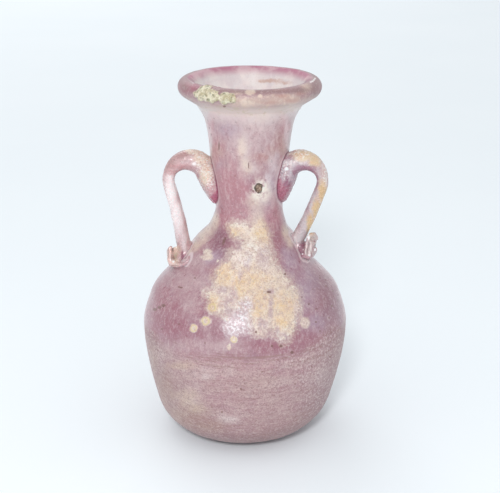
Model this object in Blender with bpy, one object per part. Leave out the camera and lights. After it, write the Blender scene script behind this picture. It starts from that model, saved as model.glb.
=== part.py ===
"""Glass amphora: a blown flask with a rolled lip and two applied handles.

Metres, +Z up. The origin is the middle of the flat that the flask stands on.
The front is -Y, and the handles stand on either side, close to the X axis.
"""

from math import asin, atan2, cos, hypot, pi, radians, sin, tan

import bmesh
import bpy
from mathutils import Matrix, Vector

# Levels of the flask's outline, each measured up from the one before it
HEEL_RISE = 0.0141
BELLY_RISE = 0.0290
UPPER_BELLY_RISE = 0.0130
SHOULDER_RISE = 0.0145
NECK_ROOT_RISE = 0.0075
NECK_FOOT_RISE = 0.0055
WAIST_RISE = 0.0075
THROAT_RISE = 0.0110
FLARE_RISE = 0.0219
CREASE_RISE = 0.0067
LIP_RISE = 0.00605

# Outer radius at each of those levels, with the flat of the base below them
BASE_RADIUS = 0.0127
HEEL_RADIUS = 0.0349
BELLY_RADIUS = 0.0398
UPPER_BELLY_RADIUS = 0.0367
SHOULDER_RADIUS = 0.0245
NECK_ROOT_RADIUS = 0.0192
NECK_FOOT_RADIUS = 0.01465
WAIST_RADIUS = 0.0127
THROAT_RADIUS = 0.0139
FLARE_RADIUS = 0.01655
CREASE_RADIUS = 0.0199

# The heel's curve: how full it is, and how far it runs out for each unit it rises at its top
HEEL_FULLNESS = 0.59
HEEL_TOP_SLOPE = 0.26

# The lip is a rolled ring of glass: its middle circle and its own thickness
LIP_RING_RADIUS = 0.0232
LIP_TUBE_RADIUS = 0.00325

# Glass thickness of the blown wall and of the middle of the base
WALL = 0.0020
BASE_THICKNESS = 0.0038

# The flask is not quite true. It leans this far to +X between base and lip, its belly sags
# over by the second amount, and its neck is set over by the third between shoulder and waist
AXIS_LEAN = 0.0006
BELLY_SHIFT = 0.0005
NECK_SHIFT = 0.0015

# Handles: both are trails of glass, dropped on the neck, looped out and folded on the shoulder
FUSE_GAP = 0.0003
SHAFT_FOOT_THICKNESS = 0.0056
LOOP_SPREAD = 0.0012
PAD_DEPTH = 0.0084
PAD_WIDTH = 0.0128
PAD_DROP = 0.0102
PAD_SINK = 0.0012
SHAFT_SINK = 0.0035
FOOT_LENGTH = 0.0112
FOOT_DEPTH = 0.0056

# The loop meets the neck at this angle, counted up from straight outwards
NECK_ANGLE = 150.0
# The rod starts to thicken at the first angle and is as thick as the pad at the second
SWELL_FROM = 10.0
SWELL_TO = 120.0
# Shape of the drop that hangs from the pad: how fast it thins toward its tip, where it is
# widest, how blunt its end is, and how near its tip the first ring lies
DROP_TAPER = 0.25
DROP_BELLY = 0.72
DROP_BLUNTNESS = 0.6
TIP_SHARE = 0.12

# The left handle. Azimuths are degrees from the X axis toward the front; the loop's middle has
# its height above the neck's waist and its standoff from the neck's surface
LEFT_PAD_AZIMUTH = 5.0
LEFT_FOOT_AZIMUTH = 3.0
LEFT_LOOP_ABOVE_WAIST = 0.0106
LEFT_LOOP_STANDOFF = 0.0098
LEFT_LOOP_RADIUS = 0.0068
LEFT_ROD_THICKNESS = 0.0048
LEFT_SHAFT_LEAN = 14.5
LEFT_FOOT_SLIDE = 0.0026
LEFT_FOOT_WIDTH = 0.0078

# The right handle stands a little higher and closer, turns to the front and leans in more
RIGHT_PAD_AZIMUTH = 17.0
RIGHT_FOOT_AZIMUTH = 11.0
RIGHT_LOOP_ABOVE_WAIST = 0.0117
RIGHT_LOOP_STANDOFF = 0.0078
RIGHT_LOOP_RADIUS = 0.0066
RIGHT_ROD_THICKNESS = 0.0045
RIGHT_SHAFT_LEAN = 20.3
RIGHT_FOOT_SLIDE = 0.0042
RIGHT_FOOT_WIDTH = 0.0074

# Folded tails, from root to tip: run down the shoulder from where the shaft lands, height off
# the shoulder, thickness and width. The left one stands free, the right one lies on its shaft.
LEFT_TAIL = (
    (0.0030, 0.0004, 0.0024, 0.0056),
    (0.0054, 0.0005, 0.0030, 0.0070),
    (0.0068, 0.0020, 0.0028, 0.0074),
    (0.0053, 0.0036, 0.0020, 0.0070),
    (0.0034, 0.0052, 0.0020, 0.0060),
    (0.0016, 0.0057, 0.0009, 0.0030),
)
RIGHT_TAIL = (
    (0.0080, 0.0003, 0.0026, 0.0050),
    (0.0066, 0.0016, 0.0038, 0.0060),
    (0.0046, 0.0034, 0.0042, 0.0060),
    (0.0030, 0.0050, 0.0040, 0.0056),
    (0.0017, 0.0064, 0.0032, 0.0048),
    (0.0008, 0.0074, 0.0014, 0.0024),
)

# Facets
AROUND = 48
HEEL_STEPS = 6
WALL_STEPS = 30
INNER_WALL_STEPS = 16
LIP_STEPS = 10
ROD_SIDES = 14
LOOP_STEPS = 13
PAD_STEPS = 5
SHAFT_STEPS = 4
TAIL_SUBSTEPS = 2
FOOT_SIDES = 14
FOOT_BANDS = 9
SMOOTH_BELOW = radians(40.0)
WELD_WITHIN = 1e-6
LANDING_HALVINGS = 40

RISES = (BELLY_RISE, UPPER_BELLY_RISE, SHOULDER_RISE, NECK_ROOT_RISE, NECK_FOOT_RISE,
         WAIST_RISE, THROAT_RISE, FLARE_RISE, CREASE_RISE)
RADII = (HEEL_RADIUS, BELLY_RADIUS, UPPER_BELLY_RADIUS, SHOULDER_RADIUS, NECK_ROOT_RADIUS,
         NECK_FOOT_RADIUS, WAIST_RADIUS, THROAT_RADIUS, FLARE_RADIUS, CREASE_RADIUS)


def running_levels():
    """Heights of the named levels above the base, from the heel to the crease."""
    levels = [HEEL_RISE]
    for rise in RISES:
        levels.append(levels[-1] + rise)
    return levels


LEVELS = running_levels()
CREASE_HEIGHT = LEVELS[-1]
BELLY_HEIGHT = LEVELS[1]
SHOULDER_HEIGHT = LEVELS[3]
WAIST_HEIGHT = LEVELS[6]
LIP_HEIGHT = CREASE_HEIGHT + LIP_RISE
TOTAL_HEIGHT = LIP_HEIGHT + LIP_TUBE_RADIUS


def outline_slopes():
    """Run-out for each unit of rise at every level, so that no curve bulges past its levels."""
    spans = [high - low for low, high in zip(LEVELS, LEVELS[1:])]
    grades = [(RADII[i + 1] - RADII[i]) / spans[i] for i in range(len(spans))]
    slopes = [HEEL_TOP_SLOPE]
    for i in range(1, len(spans)):
        below, above = grades[i - 1], grades[i]
        if below * above <= 0.0:
            slopes.append(0.0)
            continue
        weight_below = 2.0 * spans[i] + spans[i - 1]
        weight_above = spans[i] + 2.0 * spans[i - 1]
        slopes.append((weight_below + weight_above) / (weight_below / below + weight_above / above))
    last, before = spans[-1], spans[-2]
    slopes.append(((2.0 * last + before) * grades[-1] - last * grades[-2]) / (last + before))
    return slopes


SLOPES = outline_slopes()


def wall_at(height):
    """Outer radius and slope of the wall at a height between the heel and the crease."""
    height = min(max(height, LEVELS[0]), CREASE_HEIGHT)
    i = 0
    while i < len(RISES) - 1 and height > LEVELS[i + 1]:
        i += 1
    span = LEVELS[i + 1] - LEVELS[i]
    t = (height - LEVELS[i]) / span
    radius = (
        RADII[i] * (1 + 2 * t) * (1 - t) ** 2
        + SLOPES[i] * span * t * (1 - t) ** 2
        + RADII[i + 1] * t * t * (3 - 2 * t)
        + SLOPES[i + 1] * span * t * t * (t - 1)
    )
    slope = (
        6 * t * (1 - t) * (RADII[i + 1] - RADII[i]) / span
        + SLOPES[i] * (1 - t) * (1 - 3 * t)
        + SLOPES[i + 1] * t * (3 * t - 2)
    )
    return radius, slope


def wall_rows(steps, offset):
    """Points up the wall from heel to crease, moved square to the surface by an offset."""
    rows = []
    for k in range(steps + 1):
        height = LEVELS[0] + (CREASE_HEIGHT - LEVELS[0]) * k / steps
        radius, slope = wall_at(height)
        length = hypot(1.0, slope)
        rows.append((radius + offset / length, height - offset * slope / length))
    return rows


def heel_rows(offset, base_offset):
    """Points round the heel from the flat of the base to the wall, moved square to the surface."""
    start = Vector((BASE_RADIUS, 0.0))
    end = Vector((HEEL_RADIUS, HEEL_RISE))
    first = start + Vector((HEEL_FULLNESS * (HEEL_RADIUS - BASE_RADIUS), 0.0))
    second = end - Vector((HEEL_TOP_SLOPE, 1.0)) * HEEL_FULLNESS * HEEL_RISE
    rows = []
    for k in range(HEEL_STEPS):
        t = k / HEEL_STEPS
        point = (start * (1 - t) ** 3 + first * 3 * t * (1 - t) ** 2
                 + second * 3 * t * t * (1 - t) + end * t ** 3)
        along = ((first - start) * (1 - t) ** 2 + (second - first) * 2 * t * (1 - t)
                 + (end - second) * t * t).normalized()
        amount = base_offset + (offset - base_offset) * t
        rows.append((point.x + along.y * amount, point.y - along.x * amount))
    return rows


def lip_rows(outer_foot, inner_foot):
    """Points over the rolled lip, which both faces of the neck run into smoothly."""
    def bearing(foot, side):
        run, rise = LIP_RING_RADIUS - foot[0], LIP_HEIGHT - foot[1]
        return atan2(rise, run) - side * (asin(LIP_TUBE_RADIUS / hypot(run, rise)) + pi / 2)

    first, last = bearing(outer_foot, 1), bearing(inner_foot, -1)
    rows = []
    for k in range(LIP_STEPS + 1):
        angle = first + (last - first) * k / LIP_STEPS
        rows.append((LIP_RING_RADIUS + LIP_TUBE_RADIUS * cos(angle),
                     LIP_HEIGHT + LIP_TUBE_RADIUS * sin(angle)))
    return rows


def flask_rows():
    """The whole section of the flask: out along the base, up, over the lip and down inside."""
    outside = heel_rows(0.0, 0.0) + wall_rows(WALL_STEPS, 0.0)
    inside = heel_rows(-WALL, -BASE_THICKNESS) + wall_rows(INNER_WALL_STEPS, -WALL)
    lip = lip_rows(outside[-1], inside[-1])
    return [(0.0, 0.0)] + outside + lip + inside[::-1] + [(0.0, BASE_THICKNESS)]


def seat_rows():
    """The solid form that the handles are cut to: the flask's outside, a fusing gap larger."""
    rows = heel_rows(FUSE_GAP, FUSE_GAP) + wall_rows(WALL_STEPS, FUSE_GAP)
    return [(0.0, rows[0][1])] + rows + [(0.0, rows[-1][1])]


def ease(value):
    """Smooth step from 0 to 1."""
    value = min(max(value, 0.0), 1.0)
    return value * value * (3 - 2 * value)


def lean(bm):
    """Shift every level sideways with its height, as the flask leans."""
    for vert in bm.verts:
        height = vert.co.z
        belly = ease(height / BELLY_HEIGHT)
        neck = ease((height - SHOULDER_HEIGHT) / (WAIST_HEIGHT - SHOULDER_HEIGHT))
        vert.co.x += AXIS_LEAN * height / TOTAL_HEIGHT + BELLY_SHIFT * belly + NECK_SHIFT * neck


def add_object(name, bm):
    """Turn a bmesh into a smooth-shaded object of the scene."""
    lean(bm)
    bmesh.ops.recalc_face_normals(bm, faces=bm.faces)
    mesh = bpy.data.meshes.new(name)
    bm.to_mesh(mesh)
    bm.free()
    mesh.shade_smooth()
    mesh.set_sharp_from_angle(angle=SMOOTH_BELOW)
    obj = bpy.data.objects.new(name, mesh)
    bpy.context.scene.collection.objects.link(obj)
    return obj


def turned(name, rows):
    """A solid turned about the upright axis from a section that starts and ends on it."""
    bm = bmesh.new()
    verts = [bm.verts.new((radius, 0.0, height)) for radius, height in rows]
    edges = [bm.edges.new(pair) for pair in zip(verts, verts[1:])]
    bmesh.ops.spin(bm, geom=verts + edges, axis=(0, 0, 1), cent=(0, 0, 0),
                   angle=2 * pi, steps=AROUND, use_merge=True)
    bmesh.ops.remove_doubles(bm, verts=bm.verts, dist=WELD_WITHIN)
    return add_object(name, bm)


class Handle:
    """One handle: where its trail of glass runs, in its own upright plane."""

    def __init__(self, name, side, azimuths, loop, rod, shaft_lean, foot, tail):
        self.name, self.side, self.tail = name, side, tail
        self.rod, self.shaft_lean = rod, shaft_lean
        self.pad_azimuth, self.foot_azimuth = azimuths
        above_waist, standoff, self.loop_radius = loop
        self.foot_slide, self.foot_width = foot
        self.loop_height = WAIST_HEIGHT + above_waist
        self.loop_reach = wall_at(self.loop_height)[0] + standoff
        self.shaft_top = self.on_loop(self.loop_radius, -shaft_lean)
        self.landing = self.find_landing()

    def on_loop(self, radius, angle):
        """Reach and height of a point on a circle round the loop's middle."""
        turn = radians(angle)
        return self.loop_reach + radius * cos(turn), self.loop_height + radius * sin(turn)

    def find_landing(self):
        """Where the middle of the straight shaft meets the shoulder."""
        reach, height = self.shaft_top
        low, high = LEVELS[0], height
        for _ in range(LANDING_HALVINGS):
            middle = (low + high) / 2
            shaft = reach - (height - middle) * tan(radians(self.shaft_lean))
            if shaft > wall_at(middle)[0]:
                high = middle
            else:
                low = middle
        return wall_at(high)[0], high

    def point(self, reach, height, across):
        """A point of the handle in space; across runs level, toward the front."""
        share = (height - self.landing[1]) / (self.loop_height - self.landing[1])
        share = min(max(share, 0.0), 1.0)
        turn = radians(self.foot_azimuth + (self.pad_azimuth - self.foot_azimuth) * share)
        return Vector((self.side * (reach * cos(turn) - across * sin(turn)),
                       -reach * sin(turn) - across * cos(turn), height))

    def on_shoulder(self, run, off):
        """Reach and height of a point by its run down the shoulder and height off it."""
        slope = wall_at(self.landing[1])[1]
        length = hypot(1.0, slope)
        return (self.landing[0] + (off - run * slope) / length,
                self.landing[1] - (run + off * slope) / length)

    def trail(self):
        """Stations from the tip of the drop on the neck, over the loop, to inside the shoulder."""
        neck_end = self.on_loop(self.loop_radius + LOOP_SPREAD, NECK_ANGLE)
        tip_height = self.loop_height - PAD_DROP
        stand = neck_end[0] - wall_at(neck_end[1])[0]
        top_width = PAD_WIDTH * sin(pi * DROP_BELLY) ** DROP_BLUNTNESS
        stations = []
        for k in range(PAD_STEPS):
            share = (k + TIP_SHARE) / PAD_STEPS
            height = tip_height + (neck_end[1] - tip_height) * share
            reach = wall_at(height)[0] - PAD_SINK + (stand + PAD_SINK) * share
            stations.append((reach, height, PAD_DEPTH * share ** DROP_TAPER,
                             PAD_WIDTH * sin(pi * DROP_BELLY * share) ** DROP_BLUNTNESS))
        for k in range(LOOP_STEPS + 1):
            angle = NECK_ANGLE - (NECK_ANGLE + self.shaft_lean) * k / LOOP_STEPS
            swell = ease((angle - SWELL_FROM) / (SWELL_TO - SWELL_FROM))
            spread = ease((angle - SWELL_FROM) / (NECK_ANGLE - SWELL_FROM))
            place = self.on_loop(self.loop_radius + LOOP_SPREAD * spread, angle)
            stations.append(place + (self.rod + (PAD_DEPTH - self.rod) * swell,
                                     self.rod + (top_width - self.rod) * spread))
        reach, height = self.shaft_top
        run_in = height - self.landing[1] + SHAFT_SINK
        for k in range(1, SHAFT_STEPS + 1):
            down = run_in * k / SHAFT_STEPS
            thickness = self.rod + (SHAFT_FOOT_THICKNESS - self.rod) * k / SHAFT_STEPS
            stations.append((reach - down * tan(radians(self.shaft_lean)), height - down,
                             thickness, thickness))
        return stations

    def tail_stations(self):
        """Stations of the folded tail, with points between the named ones on a smooth curve."""
        rows = [self.on_shoulder(run, off) + (depth, width)
                for run, off, depth, width in self.tail]
        return between(rows, TAIL_SUBSTEPS)


def between(rows, substeps):
    """Stations on a smooth curve through the given ones."""
    result = []
    for i in range(len(rows) - 1):
        before, start = rows[max(i - 1, 0)], rows[i]
        end, after = rows[i + 1], rows[min(i + 2, len(rows) - 1)]
        for k in range(substeps):
            t = k / substeps
            result.append(tuple(
                0.5 * (2 * b + (c - a) * t + (2 * a - 5 * b + 4 * c - d) * t * t
                       + (3 * b - a - 3 * c + d) * t ** 3)
                for a, b, c, d in zip(before, start, end, after)))
    return result + [rows[-1]]


def lofted(name, handle, stations):
    """A closed skin round a row of stations, each an oval square to the run of the trail."""
    bm = bmesh.new()
    rings = []
    for i, (reach, height, depth, width) in enumerate(stations):
        before, after = stations[max(i - 1, 0)], stations[min(i + 1, len(stations) - 1)]
        run = Vector((after[0] - before[0], after[1] - before[1])).normalized()
        ring = []
        for k in range(ROD_SIDES):
            turn = 2 * pi * k / ROD_SIDES
            out = depth / 2 * cos(turn)
            across = width / 2 * sin(turn)
            ring.append(bm.verts.new(handle.point(reach + run.y * out, height - run.x * out, across)))
        rings.append(ring)
    for low, high in zip(rings, rings[1:]):
        for k in range(ROD_SIDES):
            after = (k + 1) % ROD_SIDES
            bm.faces.new((low[k], low[after], high[after], high[k]))
    bm.faces.new(rings[0])
    bm.faces.new(rings[-1][::-1])
    return add_object(name, bm)


def foot_pad(name, handle):
    """The oval of glass that the shaft spreads into, half sunk in the shoulder."""
    reach, height = handle.on_shoulder(handle.foot_slide, 0.0)
    centre = handle.point(reach, height, 0.0)
    down_reach, down_height = handle.on_shoulder(handle.foot_slide + 1.0, 0.0)
    down = (handle.point(down_reach, down_height, 0.0) - centre).normalized()
    across = (handle.point(reach, height, 1.0) - centre).normalized()
    turn = Matrix((down, across, down.cross(across))).transposed().to_4x4()
    size = Matrix.Diagonal((FOOT_LENGTH / 2, handle.foot_width / 2, FOOT_DEPTH / 2, 1.0))
    bm = bmesh.new()
    bmesh.ops.create_uvsphere(bm, u_segments=FOOT_SIDES, v_segments=FOOT_BANDS, radius=1.0,
                              matrix=Matrix.Translation(centre) @ turn @ size)
    return add_object(name, bm)


def glass(name, colour, roughness):
    """Weathered aubergine glass."""
    material = bpy.data.materials.new(name)
    material.use_nodes = True
    shader = material.node_tree.nodes["Principled BSDF"]
    shader.inputs["Base Color"].default_value = (*colour, 1.0)
    shader.inputs["Roughness"].default_value = roughness
    shader.inputs["Metallic"].default_value = 0.0
    shader.inputs["IOR"].default_value = 1.52
    return material


def hide(obj):
    """Mark an object as a guide that only helps to cut or join others."""
    obj.hide_render = True
    obj.display_type = "WIRE"


def combine(obj, other, operation):
    """Join another form to an object, or cut it away."""
    modifier = obj.modifiers.new(f"{operation.lower()}_{other.name}", "BOOLEAN")
    modifier.operation = operation
    modifier.solver = "EXACT"
    modifier.object = other
    hide(other)


def make_handle(handle, seat, material):
    """One applied handle: looped rod, foot and folded tail as one piece of glass."""
    obj = lofted(handle.name, handle, handle.trail())
    foot = foot_pad(f"guide_{handle.name}_foot", handle)
    tail = lofted(f"guide_{handle.name}_tail", handle, handle.tail_stations())
    combine(obj, foot, "UNION")
    combine(obj, tail, "UNION")
    combine(obj, seat, "DIFFERENCE")
    obj.data.materials.append(material)


def clear_scene():
    """Remove whatever the scene holds."""
    for obj in list(bpy.data.objects):
        bpy.data.objects.remove(obj, do_unlink=True)


def main():
    clear_scene()
    flask = turned("flask", flask_rows())
    flask.data.materials.append(glass("aubergine_glass", (0.47, 0.30, 0.33), 0.45))
    seat = turned("guide_seat", seat_rows())
    trail_glass = glass("trail_glass", (0.55, 0.40, 0.41), 0.38)
    left = Handle("handle_left", -1, (LEFT_PAD_AZIMUTH, LEFT_FOOT_AZIMUTH),
                  (LEFT_LOOP_ABOVE_WAIST, LEFT_LOOP_STANDOFF, LEFT_LOOP_RADIUS),
                  LEFT_ROD_THICKNESS, LEFT_SHAFT_LEAN, (LEFT_FOOT_SLIDE, LEFT_FOOT_WIDTH), LEFT_TAIL)
    right = Handle("handle_right", 1, (RIGHT_PAD_AZIMUTH, RIGHT_FOOT_AZIMUTH),
                   (RIGHT_LOOP_ABOVE_WAIST, RIGHT_LOOP_STANDOFF, RIGHT_LOOP_RADIUS),
                   RIGHT_ROD_THICKNESS, RIGHT_SHAFT_LEAN, (RIGHT_FOOT_SLIDE, RIGHT_FOOT_WIDTH), RIGHT_TAIL)
    make_handle(left, seat, trail_glass)
    make_handle(right, seat, trail_glass)


main()
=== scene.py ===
"""Looks of the glass amphora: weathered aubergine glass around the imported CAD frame.

Metres, +Z up, front toward -Y, as in the CAD. The flask is turned again here with its fine
relief, and each handle is a finer skin over its CAD solid. Places on the front are given in
pixels of the photograph's view of the flask: right, down.
"""

from bisect import bisect_left
from functools import reduce
from math import asin, atan2, cos, hypot, pi, radians, sin

import bmesh
import bpy
import numpy as np
from mathutils import Matrix, Vector, noise
from mathutils.bvhtree import BVHTree


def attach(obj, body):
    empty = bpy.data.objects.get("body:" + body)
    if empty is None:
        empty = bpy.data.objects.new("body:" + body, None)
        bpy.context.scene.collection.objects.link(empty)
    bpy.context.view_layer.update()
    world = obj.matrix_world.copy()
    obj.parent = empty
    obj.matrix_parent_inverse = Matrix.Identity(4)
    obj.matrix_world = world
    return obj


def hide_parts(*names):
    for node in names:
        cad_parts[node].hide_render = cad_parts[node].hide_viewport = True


# Outline of the flask, the same sizes as in the CAD
RISES = (0.0141, 0.029, 0.013, 0.0145, 0.0075, 0.0055, 0.0075, 0.011, 0.0219, 0.0067)
RADII = (0.0349, 0.0398, 0.0367, 0.0245, 0.0192, 0.01465, 0.0127, 0.0139, 0.01655, 0.0199)
LIP_RISE = 0.00605
LIP_RING_RADIUS = 0.0232
LIP_TUBE_RADIUS = 0.00325
BASE_RADIUS = 0.0127
HEEL_FULLNESS = 0.59
HEEL_TOP_SLOPE = 0.26
WALL = 0.002
BASE_THICKNESS = 0.0038
AXIS_LEAN = 0.0006
BELLY_SHIFT = 0.0005
NECK_SHIFT = 0.0015

# The photograph's viewpoint, worked out from the flask's own ellipses
CAMERA_PLACE = (0.00266, -0.3892, 0.2142)
CAMERA_PITCH = radians(19.8)
FOCAL_PIXELS = 1071.0
PICTURE = (500, 493)
SENSOR = 36.0

# Soft studio lights: name, place, aim, size across and power
LIGHTS = (
    ("key", (-0.1, -0.76, 0.58), (0.0, 0.0, 0.07), 0.16, 3.9),
    ("back", (-0.6, 1.6, 1.4), (-0.25, 1.0, 0.0), 1.6, 9.0),
)
SURROUNDING, SURROUNDING_STRENGTH = (0.97, 0.985, 1.0), 0.76
FLOOR_HALF = 5.0

# Mesh fineness: points round the flask, rows of its parts, and heights of the rows up its outside
AROUND = 320
HEEL_ROWS, LIP_ROWS, FLOOR_ROWS = 26, 30, 14
INNER_HEEL_ROWS, INNER_WALL_ROWS, INNER_FLOOR_ROWS = 10, 56, 5
BODY_ROW, NECK_ROW, PIT_ROW, LEAST_ROW = 0.0008, 0.00066, 0.0003, 0.0002
NECK_ROWS_FROM = 0.088
PIT_ROWS_REACH = 0.0032
HANDLE_VOXEL = 0.00026
FOLD_SIDES, FOLD_SUBSTEPS = 12, 5

# Relief of the flask: soft swellings (height, size), matt body with its lines, pit, crusts on the
# lip (azimuth and height, and half sizes of both) and the scar of the pontil rod on the base
FLASK_SWELLINGS = ((0.00014, 0.018), (0.00004, 0.004))
MATT_TOP, MATT_EDGE, MATT_SINK = 0.0438, 0.0016, 0.0001
LINE_PITCH, LINE_HEIGHT = 0.0011, 0.00005
PIT_AZIMUTH, PIT_HEIGHT = 14.7, 0.1016
PIT_HALF_WIDTH, PIT_HALF_HEIGHT = 0.0015, 0.00185
PIT_DEPTH, PIT_RIM = 0.00105, 0.00012
CRUSTS = ((-39.0, 0.138, 9.0, 0.0026), (-30.0, 0.1375, 7.0, 0.0024), (-17.5, 0.1373, 7.5, 0.0021))
CRUST_LEAST, CRUST_LUMPS = 0.00022, 0.0005
RELIEF_FROM = 0.004
SCAR_RADIUS, SCAR_WIDTH, SCAR_HEIGHT = 0.0062, 0.0016, 0.00012
HOLLOW_RADIUS, HOLLOW_DEPTH = 0.005, 0.00045

# Handles: swellings, lumps on the pad at the neck, and how deep the skin sinks where it is fused
HANDLE_SWELLINGS = ((0.00012, 0.007), (0.00004, 0.0018))
PAD_LIFT, PAD_LUMPS, PAD_FROM, PAD_REACH = 0.00006, 0.0002, 0.09, 0.0075
SINK_DEPTH, SINK_REACH = 0.0011, 0.0013
JOINT_REACH, JOINT_LOW, JOINT_HIGH = 0.004, 0.07, 0.12

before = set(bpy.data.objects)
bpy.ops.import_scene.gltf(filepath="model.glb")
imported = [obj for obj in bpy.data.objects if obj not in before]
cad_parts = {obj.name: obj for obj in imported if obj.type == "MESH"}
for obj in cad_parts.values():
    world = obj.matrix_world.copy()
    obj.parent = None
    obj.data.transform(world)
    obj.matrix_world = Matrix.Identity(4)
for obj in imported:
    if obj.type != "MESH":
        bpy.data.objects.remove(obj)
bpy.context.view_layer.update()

LEVELS = np.cumsum(RISES).tolist()
CREASE_HEIGHT = LEVELS[-1]
LIP_HEIGHT = CREASE_HEIGHT + LIP_RISE
TOTAL_HEIGHT = LIP_HEIGHT + LIP_TUBE_RADIUS


# ---- outline ----

def outline_slopes():
    """Run-out for each unit of rise at every level of the outline."""
    spans = np.diff(LEVELS)
    grades = np.diff(RADII) / spans
    slopes = [HEEL_TOP_SLOPE]
    for i in range(1, len(spans)):
        below, above = grades[i - 1], grades[i]
        if below * above <= 0.0:
            slopes.append(0.0)
            continue
        weight_below = 2.0 * spans[i] + spans[i - 1]
        weight_above = spans[i] + 2.0 * spans[i - 1]
        slopes.append((weight_below + weight_above) / (weight_below / below + weight_above / above))
    last, before = spans[-1], spans[-2]
    slopes.append(((2.0 * last + before) * grades[-1] - last * grades[-2]) / (last + before))
    return slopes


SLOPES = outline_slopes()


def wall_at(height):
    """Outer radius and slope of the wall at a height between the heel and the crease."""
    height = min(max(height, LEVELS[0]), CREASE_HEIGHT)
    i = min(max(bisect_left(LEVELS, height), 1), len(LEVELS) - 1) - 1
    span = LEVELS[i + 1] - LEVELS[i]
    t = (height - LEVELS[i]) / span
    radius = (
        RADII[i] * (1 + 2 * t) * (1 - t) ** 2
        + SLOPES[i] * span * t * (1 - t) ** 2
        + RADII[i + 1] * t * t * (3 - 2 * t)
        + SLOPES[i + 1] * span * t * t * (t - 1)
    )
    slope = (
        6 * t * (1 - t) * (RADII[i + 1] - RADII[i]) / span
        + SLOPES[i] * (1 - t) * (1 - 3 * t)
        + SLOPES[i + 1] * t * (3 * t - 2)
    )
    return radius, slope


def wall_rows(heights, offset):
    """Points up the wall at these heights, moved square to the surface by an offset."""
    rows = []
    for height in heights:
        radius, slope = wall_at(height)
        length = hypot(1.0, slope)
        rows.append((radius + offset / length, height - offset * slope / length))
    return rows


def heel_rows(steps, offset, base_offset):
    """Points round the heel from the flat of the base to the wall."""
    start = Vector((BASE_RADIUS, 0.0))
    end = Vector((RADII[0], RISES[0]))
    first = start + Vector((HEEL_FULLNESS * (RADII[0] - BASE_RADIUS), 0.0))
    second = end - Vector((HEEL_TOP_SLOPE, 1.0)) * HEEL_FULLNESS * RISES[0]
    rows = []
    for k in range(steps):
        t = k / steps
        point = (start * (1 - t) ** 3 + first * 3 * t * (1 - t) ** 2
                 + second * 3 * t * t * (1 - t) + end * t ** 3)
        along = ((first - start) * (1 - t) ** 2 + (second - first) * 2 * t * (1 - t)
                 + (end - second) * t * t).normalized()
        amount = base_offset + (offset - base_offset) * t
        rows.append((point.x + along.y * amount, point.y - along.x * amount))
    return rows


def lip_rows(steps, outer_foot, inner_foot):
    """Points over the rolled lip."""
    def bearing(foot, side):
        run, rise = LIP_RING_RADIUS - foot[0], LIP_HEIGHT - foot[1]
        return atan2(rise, run) - side * (asin(LIP_TUBE_RADIUS / hypot(run, rise)) + pi / 2)

    first, last = bearing(outer_foot, 1), bearing(inner_foot, -1)
    angles = [first + (last - first) * k / steps for k in range(steps + 1)]
    return [(LIP_RING_RADIUS + LIP_TUBE_RADIUS * cos(angle),
             LIP_HEIGHT + LIP_TUBE_RADIUS * sin(angle)) for angle in angles]


def ease(value):
    """Smooth step from 0 to 1."""
    value = min(max(value, 0.0), 1.0)
    return value * value * (3 - 2 * value)


def axis_x(height):
    """How far the flask's middle stands to +X at a height."""
    neck = ease((height - LEVELS[3]) / (LEVELS[6] - LEVELS[3]))
    return (AXIS_LEAN * height / TOTAL_HEIGHT + BELLY_SHIFT * ease(height / LEVELS[1])
            + NECK_SHIFT * neck)


# ---- surface points ----

def front_picture(points):
    """Where points fall in the front view: right, down."""
    p = np.asarray(points, float) - np.array(CAMERA_PLACE)
    c, s = cos(CAMERA_PITCH), sin(CAMERA_PITCH)
    depth = p[:, 1] * c - p[:, 2] * s
    up = p[:, 1] * s + p[:, 2] * c
    return np.stack([PICTURE[0] / 2 + FOCAL_PIXELS * p[:, 0] / depth,
                     PICTURE[1] / 2 - FOCAL_PIXELS * up / depth], axis=1)


def store(mesh, name, values):
    """Store one number for every vertex."""
    layer = mesh.attributes.new(name, "FLOAT", "POINT")
    layer.data.foreach_set("value", np.asarray(values, np.float32))


def mark_front(mesh):
    """Store every vertex's place in the front view, how much it faces it, its height and depth."""
    count = len(mesh.vertices)
    points, normals = np.empty(count * 3), np.empty(count * 3, np.float32)
    mesh.vertices.foreach_get("co", points)
    mesh.vertex_normals.foreach_get("vector", normals)
    points = points.reshape(-1, 3)
    place = front_picture(points)
    toward = np.array(CAMERA_PLACE) - points
    toward /= np.linalg.norm(toward, axis=1)[:, None]
    facing = (normals.reshape(-1, 3) * toward).sum(1)
    values = np.stack([place[:, 0], place[:, 1], facing], axis=1).astype(np.float32)
    layer = mesh.attributes.new("front", "FLOAT_VECTOR", "POINT")
    layer.data.foreach_set("vector", values.ravel())
    store(mesh, "facing", facing)
    store(mesh, "height", points[:, 2])
    store(mesh, "depth", points[:, 1])
    return place, facing


def mark_area(mesh, name, place, facing, rows):
    """Store how deep every vertex lies in ovals of the front: 1 at a middle, 0 at an edge."""
    depth = np.full(len(place), -9.0)
    for right, down, half_width, half_height in rows:
        away = np.hypot((place[:, 0] - right) / half_width, (place[:, 1] - down) / half_height)
        depth = np.maximum(depth, 1.0 - away)
    turned = 1.0 - np.clip(facing / 0.15, 0.0, 1.0)
    store(mesh, name, np.maximum(depth, -3.0) - 6.0 * turned)


def outline_distance(points, outline):
    """How far inside an outline points lie, in the units of both; outside it is negative."""
    corners = np.array(outline, float)
    nearest = np.full(len(points), 1e9)
    crossings = np.zeros(len(points), int)
    for start, end in zip(corners, np.roll(corners, -1, axis=0)):
        run, gap = end - start, points - start
        share = np.clip(gap @ run / (run @ run), 0.0, 1.0)
        nearest = np.minimum(nearest, np.linalg.norm(gap - share[:, None] * run, axis=1))
        level = (start[1] > points[:, 1]) != (end[1] > points[:, 1])
        rise = run[1] if run[1] else 1.0
        crossings += level & (points[:, 0] < start[0] + gap[:, 1] * run[0] / rise)
    return np.where(crossings % 2 == 1, nearest, -nearest)


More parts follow.
